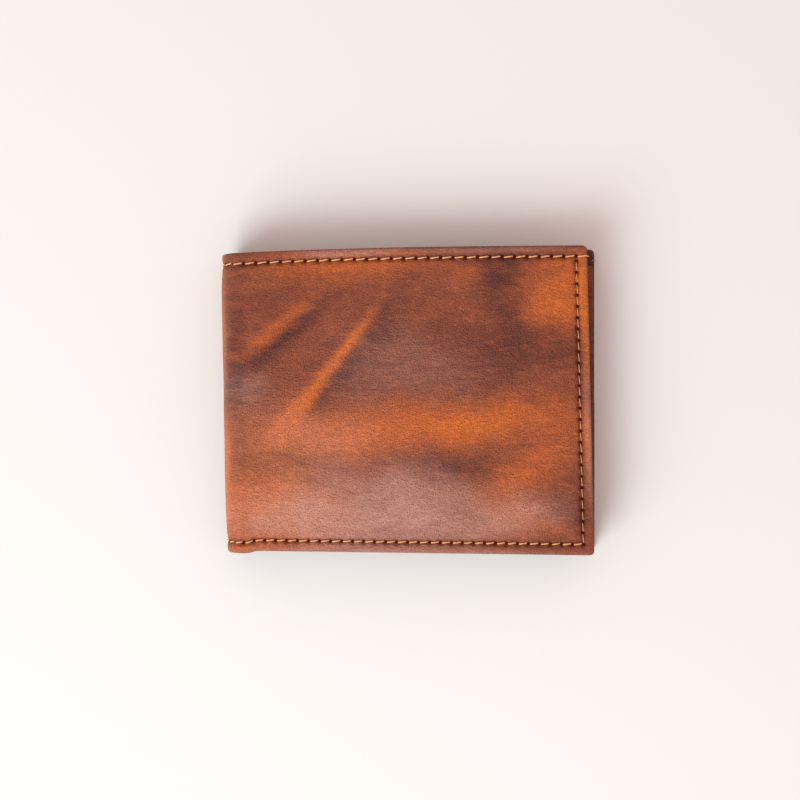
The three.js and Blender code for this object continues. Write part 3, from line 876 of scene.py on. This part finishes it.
def build_inner_sheets(side):
    for name, (outer, inner, inset, drop, material) in SHEET_LEVELS.items():
        label = f"{side}_{name}_sheet"
        sheet = fold_sheet(label, side, outer, inner, material, SHEET_STEP, inset, drop)
        bend_with_leaf(sheet, side)
        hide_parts(f"{side}_{name}", f"spine_{name}")
        if material is LINING:
            length = FLAT_START + max(REACH[side]) - BEND_X - inset


# ---- card pockets ----

POCKET_SHOULDER = 6.0
SHOULDER_ROUND = 0.8  # a pocket narrows to its tail within this height
POCKET_BAND = 14.0
MOUTH_CREASE = 1.7  # a pressed line runs this far below each pocket's mouth
CREASE_WIDTH = 0.30
CREASE_DEPTH = 0.14
CREASE_BAND = 0.6  # the grid is fine this far to both sides of that line
PANEL_CORNER = 0.8
POCKET_STEP = 1.6  # grid step
POCKET_EDGE_INSET = 0.5
LEAF_POCKETS = (1, 2, 3, 4)
WING_POCKETS = (1, 2, 3)


def panel_grid(low, top, left_of, right_of, half, step):
    """Places and edge distances of a flat panel whose left and right edges are functions of y."""
    crease_y = top - MOUTH_CREASE
    creased = np.linspace(crease_y - CREASE_BAND, crease_y + CREASE_BAND, 7)
    v = graded(low, top, step, half)
    v = np.sort(np.concatenate([v[np.abs(v - crease_y) > CREASE_BAND + 0.2], creased]))
    u = graded(0, GRID_SPAN, step, half)
    y, place = np.meshgrid(v, u, indexing="ij")
    left, right = left_of(y), right_of(y)
    x = spread(place, left, right)
    near = np.minimum(np.minimum(x - left, right - x), np.minimum(top - y, y - low))
    for corner_y in (np.full_like(y, top), np.full_like(y, low)):
        x, y = round_corner(x, y, right, corner_y, PANEL_CORNER)
    return x, y, near


def two_faced(name, first, second, material, edge):
    """A closed sheet from the points of its two faces, which meet along the rounded edge."""
    rows, columns = edge.shape
    points = np.concatenate([first.reshape(-1, 3), second.reshape(-1, 3)])
    faces = grid_faces(rows, columns) + grid_faces(rows, columns, rows * columns, flip=True)
    return make_piece(name, points, faces, material, {"edge": both_faces(edge)})


def panel_piece(name, x, y, z_low, z_high, near, material, half, pressed=0.0):
    """A panel that lies flat; `pressed` darkens its creased lines."""
    fall = edge_drop(near, half)
    upper = np.stack([x, y, z_high - fall], axis=-1)
    lower = np.stack([x, y, z_low + fall], axis=-1)
    edge = np.maximum(0.8 * np.exp(-((near / (0.5 * half + 0.1)) ** 2)), pressed)
    return two_faced(name, upper, lower, material, edge)


def always(value):
    """The edge function of a panel whose edge is straight."""
    return lambda y: np.full_like(y, value)


def pocket_edges(left, right_of, band_y, tail):
    """Left and right edge functions of a T-shaped pocket, or of a plain one where it has no tail."""
    shoulder = POCKET_SHOULDER if tail else 0.0

    def narrow(y):
        return shoulder * smooth((band_y - y) / SHOULDER_ROUND)

    return (lambda y: left + narrow(y)), (lambda y: right_of(y) - narrow(y))


def pocket_face(x, y, low, top, crease):
    """Relief of a pocket's visible face: the mouth's pressed line, and a faint wave across the panel."""
    belly = 0.05 * np.sin(math.pi * np.clip((y - low) / (top - low), 0, 1)) * np.cos(x * 0.06)
    return belly - CREASE_DEPTH * crease


def build_pocket(node, body, facing, right_of, tail):
    """A card pocket in the place of its CAD node; `facing` is 1 if its visible face is the upper one."""
    low, high = box_mm(node)
    half = (high[2] - low[2]) / 2
    left_of, right_edge = pocket_edges(low[0], right_of, high[1] - POCKET_BAND, tail)
    x, y, near = panel_grid(low[1], high[1], left_of, right_edge, half, POCKET_STEP)
    crease = np.exp(-((high[1] - y - MOUTH_CREASE) / CREASE_WIDTH) ** 2)
    relief = pocket_face(x, y, low[1], high[1], crease)
    z_high = high[2] + (relief if facing > 0 else 0)
    z_low = low[2] - (relief if facing < 0 else 0)
    pocket = panel_piece(f"{node}_panel", x, y, z_low, z_high, near, POCKET, half, 0.7 * crease)
    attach(pocket, body)
    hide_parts(node)


def build_pockets(side):
    facing = 1 if side == "back" else -1

    def right_of(y):
        return free_x(side, y) - POCKET_EDGE_INSET

    for number in LEAF_POCKETS:
        node = f"{side}_card_pocket_{number}"
        build_pocket(node, f"{side}_leaf", facing, right_of, tail=number < LEAF_POCKETS[-1])


def inside_level(side, y):
    """Depth of the face that shows inside a leaf at height y: the inner wall, or the nearest pocket."""
    level = np.full_like(y, SHEET_LEVELS["inner_wall"][1])
    for number in LEAF_POCKETS:
        low, high = box_mm(f"{side}_card_pocket_{number}")
        inner = high[2] if side == "back" else THICKNESS - low[2]
        level = np.where(y < high[1], inner, level)
    return level


INSIDE_LIFT = 0.05
POCKET_SEAM_INSET = 2.2  # of the seam beside the spine
WALL_SEAM_INSET = 2.0  # the seams stop short of the inner wall's upper edge
SPINE_SEAM_SHORT = 8  # and the one beside the spine this much lower


def inside_seams(side):
    """The same seams seen inside the leaf: along the lower and the free edge, and beside the spine."""
    x_seam = min(REACH[side]) - SEAM_INSET
    x_spine = box_mm(f"{side}_card_pocket_4")[0][0] + POCKET_SEAM_INSET
    wall_drop = SHEET_LEVELS["inner_wall"][3]
    low_y = lower_y(x_seam) + SEAM_INSET
    height_run = upper_y(x_seam) - wall_drop - WALL_SEAM_INSET - low_y

    def inside(x, y, level, height):
        return wrap(side, FLAT_START + x - BEND_X, y, level + INSIDE_LIFT + height)

    def along_lower(u, v, height):
        x = x_seam - u
        return inside(x, lower_y(x) + SEAM_INSET + v, LEAF_DEPTH, height)

    def along_free(u, v, height):
        y = low_y + u
        return inside(free_x(side, y) - SEAM_INSET + v, y, inside_level(side, y), height)

    def along_spine(u, v, height):
        y = low_y + u
        return inside(x_spine + v, y, inside_level(side, y), height)

    runs = [
        ("lower", along_lower, x_seam - x_spine),
        ("free", along_free, height_run),
        ("spine", along_spine, height_run - SPINE_SEAM_SHORT),
    ]
    for label, place, length in runs:
        holes = [i * STITCH for i in range(int(length / STITCH))]
        seam = seam_piece(f"{side}_inside_{label}_stitches", place, holes, STITCH)
        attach(seam, f"{side}_leaf")
        if label == "lower":
            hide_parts(f"{side}_inside_thread")


# ---- centre wing ----

WING_LOW, WING_HIGH = box_mm("wing_window_frame")
FILM_LOW, FILM_HIGH = box_mm("wing_window_film")
CORE_LOW, CORE_HIGH = box_mm("wing_core")
ANCHOR_LOW, ANCHOR_HIGH = box_mm("wing_anchor")
WINDOW_MARGIN = 3.0  # the film reaches this far behind the frame
WINDOW_CORNER = 4.0
WING_CORNER = 2.5
FRAME_CREASE = 1.6  # a pressed line runs this far from the opening
FRAME_SPAN = 20  # the frame grid's own width
FRAME_STEP = 0.8  # grid steps
FILM_STEP = 2.0
CORE_STEP = 0.9
FLANGE_STEP = 1.2
FLANGE_HALF = 0.22  # half the thickness of the anchor strip's sewn edge
FLANGE_SPACE = 0.55  # room for it beside the core
WING_SEAM_INSET = 2.3
WING_SEAM_SINK = 0.12  # the wing's thread lies this much in the leather


def rounded_rectangle(centre, half_width, half_height, radius, per_side=26, per_corner=8):
    """Points round a rectangle with round corners, the same number on each side and corner."""
    corners = []
    for sign_x, sign_y, begin in [(1, -1, -90), (1, 1, 0), (-1, 1, 90), (-1, -1, 180)]:
        middle = centre + (sign_x * (half_width - radius), sign_y * (half_height - radius))
        angles = np.radians(np.linspace(begin, begin + 90, per_corner))
        corners.append(middle + radius * np.stack([np.cos(angles), np.sin(angles)], axis=-1))
    shares = np.arange(1, per_side)[:, None] / per_side
    points = []
    for corner, following in zip(corners, corners[1:] + corners[:1]):
        points += [corner, corner[-1] + (following[0] - corner[-1]) * shares]
    return np.concatenate(points)


def build_window_frame():
    """A leather frame round the identity window, with a pressed line beside the opening."""
    centre = (WING_LOW[:2] + WING_HIGH[:2]) / 2
    half_size = (WING_HIGH[:2] - WING_LOW[:2]) / 2
    opening = (FILM_HIGH[:2] - FILM_LOW[:2]) / 2 - WINDOW_MARGIN
    inner = rounded_rectangle(centre, *opening, WINDOW_CORNER)
    outer = rounded_rectangle(centre, *half_size, WING_CORNER)
    half = (WING_HIGH[2] - WING_LOW[2]) / 2
    lines = graded(0, FRAME_SPAN, FRAME_STEP, half)[None, :]
    width = np.linalg.norm(outer - inner, axis=1)[:, None]
    reach = spread(lines, 0, width, FRAME_SPAN)
    direction = (outer - inner)[:, None, :] / width[:, :, None]
    flat = inner[:, None, :] + direction * reach[:, :, None]
    flat, reach, width = (np.concatenate([ring, ring[:1]]) for ring in (flat, reach, width))
    near = np.minimum(reach, width - reach)
    crease = 0.10 * np.exp(-((reach - FRAME_CREASE) / CREASE_WIDTH) ** 2)
    x, y = flat[..., 0], flat[..., 1]
    z_low, z_high = WING_LOW[2], WING_HIGH[2] - crease
    window_frame = panel_piece("wing_frame_panel", x, y, z_low, z_high, near, POCKET, half)
    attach(window_frame, "wing")
    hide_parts("wing_window_frame")


def build_film():
    """Clear film behind the frame, with the faint waves that it takes in use."""
    half = (FILM_HIGH[2] - FILM_LOW[2]) / 2
    left_of, right_of = always(FILM_LOW[0]), always(FILM_HIGH[0])
    x, y, near = panel_grid(FILM_LOW[1], FILM_HIGH[1], left_of, right_of, half, FILM_STEP)
    wave = 0.04 * np.sin(x * 0.21) * np.cos(y * 0.17 + 0.6)
    z_low, z_high = FILM_LOW[2] + wave, FILM_HIGH[2] + wave
    film = panel_piece("wing_film_panel", x, y, z_low, z_high, near, FILM, half)
    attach(film, "wing")
    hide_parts("wing_window_film")


def build_wing_core():
    """The core and the strip that it hangs on, made as one flat skin."""
    half = (CORE_HIGH[2] - CORE_LOW[2]) / 2
    left_of, right_of = always(ANCHOR_LOW[0] + FLANGE_SPACE), always(CORE_HIGH[0])
    x, y, near = panel_grid(CORE_LOW[1], CORE_HIGH[1], left_of, right_of, half, CORE_STEP)
    core = panel_piece("wing_core_panel", x, y, CORE_LOW[2], CORE_HIGH[2], near, POCKET, half)
    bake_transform(core)
    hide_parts("wing_core", "wing_anchor")


def build_anchor_flange():
    """The sewn edge of the wing's strip, flat on the spine's inner wall."""
    low_of, high_of = always(ANCHOR_LOW[2]), always(ANCHOR_HIGH[2])
    z, y, near = panel_grid(ANCHOR_LOW[1], ANCHOR_HIGH[1], low_of, high_of, FLANGE_HALF, FLANGE_STEP)
    back_x = ANCHOR_LOW[0] + drawn_in(y) * 0.6
    fall = edge_drop(near, FLANGE_HALF)
    face = np.stack([back_x + 2 * FLANGE_HALF - fall, y, z], axis=-1)
    back = np.stack([back_x + fall, y, z], axis=-1)
    edge = 0.8 * np.exp(-((near / 0.2) ** 2))
    flange = two_faced("wing_anchor_flange", face, back, POCKET, edge)
    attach(flange, "spine")


def wing_seams():
    """Stitches round the wing, on the window side and on the pocket side."""
    left, right = WING_LOW[0] + WING_SEAM_INSET, WING_HIGH[0] - WING_SEAM_INSET
    low, top = WING_LOW[1] + WING_SEAM_INSET, WING_HIGH[1] - WING_SEAM_INSET
    above = WING_HIGH[2] - WING_SEAM_SINK
    levels = [box_mm(f"wing_card_pocket_{number}") for number in WING_POCKETS]

    def below(y):
        z = np.full_like(y, CORE_LOW[2])
        for low_corner, high_corner in levels:
            z = np.where(y < high_corner[1], low_corner[2], z)
        return z + WING_SEAM_SINK

    def window_long(y_seam):
        return lambda u, v, h: np.stack([left + u, y_seam + v, above + h], axis=-1)

    def window_short(x_seam):
        return lambda u, v, h: np.stack([x_seam - v, low + u, above + h], axis=-1)

    def pocket_short(x_seam):
        return lambda u, v, h: np.stack([x_seam + v, low + u, below(low + u) - h], axis=-1)

    def pocket_long(u, v, h):
        return np.stack([left + u, low - v, below(np.full_like(u, low)) - h], axis=-1)

    runs = [
        ("window_top", window_long(top), right - left), ("window_bottom", window_long(low), right - left),
        ("window_near", window_short(left), top - low), ("window_far", window_short(right), top - low),
        ("pocket_near", pocket_short(left), top - low), ("pocket_far", pocket_short(right), top - low),
        ("pocket_bottom", pocket_long, right - left),
    ]
    for label, place, length in runs:
        count = round(length / STITCH)
        pitch = length / count
        seam = seam_piece(f"wing_{label}_stitches", place, [i * pitch for i in range(count)], pitch)
        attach(seam, "wing")
        if label == "window_top":
            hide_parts("wing_thread")


def build_wing():
    build_wing_core()
    build_anchor_flange()
    right_of = always(WING_HIGH[0])
    for number in WING_POCKETS:
        node = f"wing_card_pocket_{number}"
        build_pocket(node, "wing", -1, right_of, tail=number < WING_POCKETS[-1])
    build_film()
    build_window_frame()
    wing_seams()


# ---- stage ----

FLOOR_SIZE = 12  # metres
CAMERA_HEIGHT = 480  # above the wallet
CAMERA_X = -3.4
CAMERA_TURN = -0.4  # degrees


def add_floor():
    bpy.ops.mesh.primitive_plane_add(size=FLOOR_SIZE, location=(0, 0, 0))
    floor = bpy.context.object
    floor.name = "floor"
    floor.data.materials.append(floor_paper())


def add_light(name, location, size, power, colour):
    data = bpy.data.lights.new(name, "AREA")
    data.shape = "RECTANGLE"
    data.size, data.size_y = size
    data.energy = power
    data.color = colour
    light = bpy.data.objects.new(name, data)
    light.location = location
    aim = Vector((0, 0, 0)) - Vector(location)
    light.rotation_mode = "QUATERNION"
    light.rotation_quaternion = aim.to_track_quat("-Z", "Y")
    bpy.context.scene.collection.objects.link(light)


def add_camera():
    """Looks straight down, from a little to the spine's side."""
    data = bpy.data.cameras.new("camera")
    data.lens = 72
    data.sensor_width = 36
    camera = bpy.data.objects.new("camera", data)
    camera.location = (CAMERA_X * MM, 0, (THICKNESS + CAMERA_HEIGHT) * MM)
    camera.rotation_euler = (0, 0, math.radians(CAMERA_TURN))
    bpy.context.scene.collection.objects.link(camera)
    bpy.context.scene.camera = camera


def plain_colours():
    """Shows colours as they are, without a film-like curve."""
    bpy.context.scene.view_settings.view_transform = "Standard"


def add_world():
    world = bpy.data.worlds.new("studio")
    world.use_nodes = True
    background = world.node_tree.nodes["Background"]
    background.inputs[0].default_value = (1.0, 0.81, 0.75, 1)
    background.inputs[1].default_value = 0.72
    bpy.context.scene.world = world


add_camera()
plain_colours()
add_world()
add_floor()
add_light("window", (-0.76, -0.90, 0.90), (1.0, 1.0), 20.4, (0.79, 0.96, 1.0))
add_light("fill", (-0.5, -0.1, 1.4), (1.6, 1.6), 1.0, (0.9, 0.97, 1.0))

for leaf_side in ("back", "front"):
    build_cover(leaf_side)
    build_inner_sheets(leaf_side)
    build_pockets(leaf_side)
    inside_seams(leaf_side)
build_wing()
